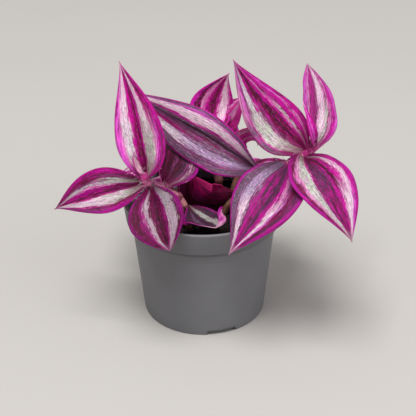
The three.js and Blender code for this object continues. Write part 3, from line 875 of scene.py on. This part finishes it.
leaf(
    "leaf_left_upright", "stem_left", 5.1, 140, 74, 42, 20,
    striped_leaf(
        "striped left upright",
        "orchid 13 pink 2 silver 17 magenta 5 wine 13 magenta 6 green 22 pink 7 orchid 4 "
        "magenta 5 plum 2 magenta 4",
        "magenta 4 orchid 5 pink 5 white 17 rose 3 magenta 7 wine 9 magenta 10 "
        "white 15 rose 5 wine 9 magenta 11",
        tip="pink", base="wine", tone_and_painted_light=1.05, vivid=0.8, seed=3.0, crease=(0.47, 0.6),
    ),
    rose_underside, arch=2.5, sway=-0.5, roll=-60, widest=0.35, point=1.3, fold=36,
    curl=12, lop=0.05, phase=0.8,
)
leaf(
    "leaf_left_young", "stem_left", 5.9, -128, 72, 11.5, 5,
    striped_leaf(
        "young leaf left", "wine 10 pale 34 wine 4 rose 8 pale 34 wine 10",
        base="rose", tone_and_painted_light=1.6, vivid=0.3, seed=4.0,
    ),
    leaf_underside("young underside", "wine 10 pale 34 rose 8 pale 38 wine 10", tone_and_painted_light=1.6),
    "young_leaf", arch=-1, sway=1.5, fold=58, curl=58, ripple=0.05,
)
leaf(
    "leaf_left_shaded", "stem_left", 3.2, 84, 21, 20, 18,
    striped_leaf(
        "shaded leaf",
        "wine 10 magenta 4 maroon 14 wine 5 maroon 12 mauve 5 maroon 13 slate 6 "
        "mauve 10 pale 4 mauve 7 margin 5",
        base="wine", tone_and_painted_light=0.66, vivid=0.15, seed=5.0,
    ),
    plum_underside, "shaded_leaf", arch=3, sway=3.5, roll=32, widest=0.41, point=0.9,
    fold=8, curl=16,
)


# The long leaf across the middle: an older large leaf, more slate than magenta, with one broad
# white stripe beside its midrib. Its sheath wraps the right stem, and its blade leans on nothing.
leaf(
    "leaf_across", "stem_right", 3.0, 167, 28.5, 55, 22,
    striped_leaf(
        "striped across",
        "margin 3 ash 11 mauve 4 lilac 17 ash 10 wine 2 ash 6 slate 4 ash 8 "
        "magenta 5 white 17 orchid 3 ash 7 margin 3",
        "margin 3 ash 12 mauve 3 silver 14 plum 5 magenta 2 wine 4 plum 7 slate 5 ash 8 "
        "magenta 6 white 18 orchid 4 ash 7 margin 2",
        base="slate", tone_and_painted_light=1.15, vivid=0.3, seed=6.0, crease=(0.55, 0.85),
    ),
    rose_underside, arch=0.5, sway=-0.5, roll=-91, widest=0.4, point=1.25, fold=17,
    curl=-6, lop=-0.05, phase=0.1,
)


# Leaves of the right rosette: two broad ones that droop over the rim, two that stand up behind
# them, and a young one still rolled up. Like the left ones, they sit one above the other on their
# stem by their sheaths.
leaf(
    "leaf_front_middle", "stem_right", 4.0, -127.5, -28.5, 40, 27.5,
    striped_leaf(
        "striped front middle",
        "margin 5 plum 6 wine 7 mauve 5 pink 7 magenta 6 plum 14 magenta 4 slate 4 "
        "magenta 5 mauve 4 lilac 16 ash 12 margin 5",
        "margin 5 magenta 3 plum 5 wine 6 orchid 4 white 9 magenta 10 plum 8 magenta 3 maroon 3 "
        "magenta 8 plum 4 white 13 mauve 5 ash 11 margin 4",
        base="slate", tone_and_painted_light=0.78, vivid=0.35, seed=7.0,
    ),
    rose_underside, arch=3, sway=-2, roll=1, widest=0.38, point=1.3, fold=17, curl=-2.5,
    lop=-0.08, phase=0.35,
)
leaf(
    "leaf_front_right", "stem_right", 4.7, -67, -21, 38.5, 24.3,
    striped_leaf(
        "striped front right",
        "margin 5 magenta 10 white 8 magenta 9 maroon 8 magenta 3 plum 24 magenta 4 "
        "green 13 pink 6 wine 5 margin 5",
        "margin 4 magenta 7 orchid 8 white 15 magenta 10 maroon 5 magenta 3 wine 6 magenta 3 "
        "maroon 6 magenta 3 mauve 3 green 12 pink 3 wine 7 margin 5",
        tone_and_painted_light=0.8, vivid=0.5, seed=8.0,
    ),
    rose_underside, arch=5, sway=-0.5, roll=-3, widest=0.38, point=1.2, fold=13, curl=-8,
    lop=0.14, phase=0.6,
)
leaf(
    "leaf_right_upright", "stem_right", 5.1, 164, 50, 41, 19.5,
    striped_leaf(
        "striped right upright",
        "mauve 3 ash 7 magenta 4 green 18 mauve 9 wine 8 maroon 9 wine 4 magenta 6 "
        "pink 3 green 2 rust 2 magenta 11 pink 3 magenta 11",
        "pink 12 orchid 4 mauve 6 silver 11 magenta 8 wine 6 maroon 10 magenta 8 "
        "pink 4 rust 3 magenta 13 orchid 3 magenta 12",
        tip="pink", base="wine", tone_and_painted_light=0.9, vivid=0.8, seed=9.0,
    ),
    rose_underside, arch=-2.5, sway=1.7, roll=-58, widest=0.28, point=1.2, fold=9,
    curl=-18, lop=-0.1, phase=0.9,
)
leaf(
    "leaf_right_small", "stem_right", 5.5, 88.5, 48.5, 31, 23.5,
    striped_leaf(
        "striped right small",
        "orchid 10 pink 9 magenta 15 wine 6 magenta 9 slate 2 pink 5 white 13 green 7 "
        "rust 3 pink 5 magenta 8 orchid 8",
        "orchid 10 pink 9 magenta 22 wine 5 pink 5 white 14 pink 5 wine 4 pink 5 "
        "magenta 10 orchid 11",
        tone_and_painted_light=0.83, vivid=1.0, seed=10.0,
    ),
    rose_underside, arch=1.5, sway=3, roll=53, widest=0.44, point=0.95, fold=18, curl=0,
    lop=-0.05, phase=0.15,
)
leaf(
    "leaf_right_young", "stem_right", 5.9, -163, 74.5, 17, 4.5,
    striped_leaf(
        "young leaf right", "magenta 22 orchid 16 wine 8 magenta 12 orchid 18 magenta 24",
        tone_and_painted_light=1.3, seed=11.0,
    ),
    leaf_underside(
        "young rose underside", "magenta 25 orchid 15 rose 20 orchid 15 magenta 25", tone_and_painted_light=1.35,
    ),
    "young_leaf", arch=-1.5, sway=-6, roll=-70, widest=0.45, fold=35, curl=35, ripple=0.05,
)


# Leaves of the centre stem: three smaller ones, half hidden behind the long leaf, whose rosy lower
# faces show as much as their striped ones.
leaf(
    "leaf_centre_top", "stem_centre", 2.9, 12, 74, 26, 19,
    striped_leaf(
        "striped centre top",
        "margin 5 maroon 15 pink 8 magenta 8 wine 8 rust 13 magenta 5 white 18 "
        "orchid 5 wine 10 margin 5",
        "margin 8 maroon 12 pink 12 magenta 8 wine 8 rust 7 magenta 8 white 18 pink 8 magenta 11",
        tone_and_painted_light=1.7, vivid=1.0, seed=12.0,
    ),
    rose_underside, arch=1.5, sway=-2.5, roll=103, widest=0.41, point=1.4, fold=13,
    curl=-5, lop=-0.15, phase=0.4,
)
plain_bands = "margin 8 wine 20 silver 14 wine 16 silver 16 wine 18 margin 8"
leaf(
    "leaf_centre_back", "stem_centre", 3.35, 26, 41, 18, 14,
    striped_leaf("striped centre back", plain_bands, seed=13.0),
    leaf_underside("rosy underside", "rose 30 pink 18 rose 14 pink 18 rose 20", tone_and_painted_light=1.2, seed=3.0),
    arch=-0.5, sway=1, roll=-100, widest=0.38, fold=16, curl=-3,
)
leaf(
    "leaf_centre_low", "stem_centre", 1.8, 35.5, 2, 18, 12.5,
    striped_leaf("striped centre low", plain_bands, seed=14.0),
    leaf_underside(
        "banded underside", "rose 18 magenta 16 pink 10 magenta 18 rose 10 pink 18 rose 10",
        tone_and_painted_light=1.3,
    ),
    arch=9.5, sway=5.5, roll=-75, widest=0.25, point=1.6, fold=4, curl=-8, lop=-0.2,
)


# Leaves low over the soil: old, shaded ones that lie flatter than the rest, and whose colours are
# painted darker for the shade they lie in. One shows its crimson lower face, one turns a margin
# over, and one is a small stub of a leaf.
leaf(
    "leaf_low_arched", "stem_right", 1.71, 184.5, 26, 17.2, 22,
    striped_leaf(
        "low leaf arched", "crimson 40 wine 60", base="wine", tone_and_painted_light=0.75, vivid=0.3, seed=15.0,
    ),
    leaf_underside(
        "crimson underside", "crimson 28 wine 12 crimson 8 wine 18 maroon 34",
        tone_and_painted_light=1.1, tip="crimson", fade=0.4,
    ),
    "shaded_leaf", arch=-7, sway=1.5, roll=56, widest=0.5, point=0.85, fold=-3, curl=0.5,
    lop=-0.1, clasp=16,
)
leaf(
    "leaf_low_rolled", "stem_left", 1.38, -56, 0, 17.5, 18,
    striped_leaf(
        "low leaf rolled", "margin 4 slate 24 green 13 slate 18 ash 14 slate 22 margin 5",
        tone_and_painted_light=0.62, vivid=0.25, seed=16.0,
    ),
    leaf_underside("salmon underside", "margin 4 pink 92 margin 4", tip="pale"),
    "shaded_leaf", arch=-2, sway=-0.5, roll=-11, widest=0.58, point=0.75, fold=10,
    curl=14, flap=-150,
)
leaf(
    "leaf_low_bit", "stem_left", 0.9, -62, 20, 5, 5,
    striped_leaf("low leaf bit", "magenta 30 plum 40 magenta 30", tone_and_painted_light=0.8, seed=17.0),
    rose_underside, arch=-1, sway=1.5, widest=0.5, point=0.8, ripple=0.05,
)


# Leaves of the back and sides: they fill the plant where the camera in front can't see it, on all
# five stems. They are made as the others are, and take the three usual patterns of stripes in turn.
usual_stripes = [
    striped_leaf(
        "usual stripes",
        "margin 5 wine 9 rose 4 silver 18 magenta 4 wine 8 maroon 6 wine 7 magenta 4 "
        "silver 18 rose 4 wine 9 margin 4",
        seed=18.0,
    ),
    striped_leaf(
        "usual slate stripes",
        "margin 5 plum 12 lilac 5 silver 14 magenta 5 slate 18 magenta 5 silver 14 "
        "lilac 5 plum 12 margin 5",
        base="slate", seed=19.0,
    ),
    striped_leaf(
        "usual rose stripes",
        "margin 6 magenta 12 pink 4 green 14 pink 3 magenta 9 wine 8 magenta 9 pink 3 "
        "green 14 magenta 12 margin 6",
        seed=20.0,
    ),
]
# Stem, place on it, heading, rise, length, width, and how each leaf lies.
BACK_LEAVES = [
    ("stem_centre", 1.5, 94, 14, 32, 19, {"arch": 5}),
    ("stem_back_left", 2.3, 128, 8, 27, 17, {"arch": 4}),
    ("stem_back_left", 1.6, 170, -26, 27, 13, {"arch": 3}),
    ("stem_back_right", 2.0, 56, -23, 26, 17, {"arch": 4, "fold": 6, "curl": -8}),
    ("stem_centre", 1.15, 92, -6, 30, 18, {"arch": 5}),
    ("stem_back_left", 1.2, 106, -5, 26, 17, {"arch": 4}),
    ("stem_back_left", 2.85, -150, 55, 19, 13, {"arch": 2}),
    ("stem_right", 3.6, 50, -42, 27, 18, {"arch": 2.5, "fold": 10}),
    ("stem_right", 4.35, 100, 15, 26, 15, {"arch": 2}),
    ("stem_centre", 2.55, 150, 12, 24, 16, {"arch": 3}),
    ("stem_left", 3.5, 160, -25, 21, 12, {"arch": 2}),
    ("stem_left", 2.3, 128, -8, 20, 13, {"arch": 3}),
    ("stem_back_right", 2.85, -4, -12, 22, 15, {"arch": 2.4, "fold": 8, "curl": -4}),
]
for number, (*place, lie) in enumerate(BACK_LEAVES):
    upper = usual_stripes[number % len(usual_stripes)]
    leaf(f"leaf_back_{number + 1}", *place, upper, rose_underside, phase=0.37 * number, **lie)


# Hairs: soft white hairs of the plant's skin, which fringe the mouths of the fresh sheaths. Each is
# a fine bent spike of three sides that tapers to its tip, rooted in the margin of its leaf.
HAIR_LENGTH = 2.0
HAIR_RADIUS = 0.04
HAIR_SPREAD = 0.45
HAIR_BEND = 0.35
HAIR_LIFT = 0.2
HAIR_SIDES = 3
roots, ways = np.concatenate(hair_roots), np.concatenate(hair_ways)
hairs = len(roots)
chance = np.random.default_rng(5)
ways = unit(ways + HAIR_SPREAD * chance.normal(size=(hairs, 3)) + np.array([0, 0, HAIR_LIFT]))
drift = HAIR_BEND * chance.normal(size=(hairs, 3))
reach = HAIR_LENGTH * chance.uniform(0.35, 1.0, (hairs, 1))
steps = np.array([0, 0.35, 0.7, 1.0])[None, :, None]
spines = roots[:, None] + (ways * reach)[:, None] * steps + (drift * reach)[:, None] * steps**2
taper = HAIR_RADIUS * np.array([1, 0.85, 0.55, 0.08])[None, :, None, None]
hair_points = spines[:, :, None] + taper * rings(ways, (0.2, 0.1, 1.0), HAIR_SIDES)[:, None]


def hair_white():
    """Clear white hair, a little rosier in places."""
    finish = Finish("hair white", roughness=0.5, specular_ior_level=0.3)
    blush = finish.noise(finish.place(), 500, 2).between(0.45, 0.65)
    finish.set(base_color=finish.blend(blush, paint("#e9e2e4"), paint("#d7b4c3")))
    return finish.material


hair_faces = tube_faces(spines.shape[1], HAIR_SIDES, hairs)
piece("sheath_hairs", hair_points, hair_faces, [hair_white()])


# Floor and light: a plain pale floor, one broad soft light high up on the left, a weaker one on the
# right, and an even pale glow from all round.
FLOOR_HALF = 12000
AIM = (0, 0, 50)
GLOW = (0.92, 0.92, 0.92, 1)
GLOW_STRENGTH = 0.5


def pale_floor():
    """Smooth warm white, with faint broad clouds."""
    finish = Finish("pale floor", specular_ior_level=0.2)
    cloud = finish.noise(finish.place(), 6, 2)
    finish.set(base_color=finish.blend(cloud, paint("#b2afab"), paint("#b7b4b0")), roughness=0.85)
    return finish.material


floor_corners = FLOOR_HALF * np.array([(-1, -1, 0), (1, -1, 0), (1, 1, 0), (-1, 1, 0)])
floor = shape("floor", floor_corners, [np.array([(0, 1, 2, 3)])], [pale_floor()])


def soft_light(name, place, size, power, colour):
    """A square lamp at a place in millimetres, turned to face the plant."""
    lamp = bpy.data.lights.new(name, "AREA")
    lamp.size = size * MM
    lamp.energy = power
    lamp.color = colour
    made = bpy.data.objects.new(name, lamp)
    bpy.context.collection.objects.link(made)
    place = Vector(place) * MM
    aim = Vector(AIM) * MM - place
    turn = aim.to_track_quat("-Z", "Y").to_matrix().to_4x4()
    made.matrix_world = Matrix.Translation(place) @ turn


soft_light("high light", (-150, -600, 1800), 900, 38.0, (1.0, 0.99, 0.98))
soft_light("side light", (1300, -700, 700), 1200, 7.0, (0.98, 0.985, 1.0))
world = bpy.data.worlds.new("pale glow")
world.use_nodes = True
glow = world.node_tree.nodes["Background"]
glow.inputs["Color"].default_value = GLOW
glow.inputs["Strength"].default_value = GLOW_STRENGTH
bpy.context.scene.world = world
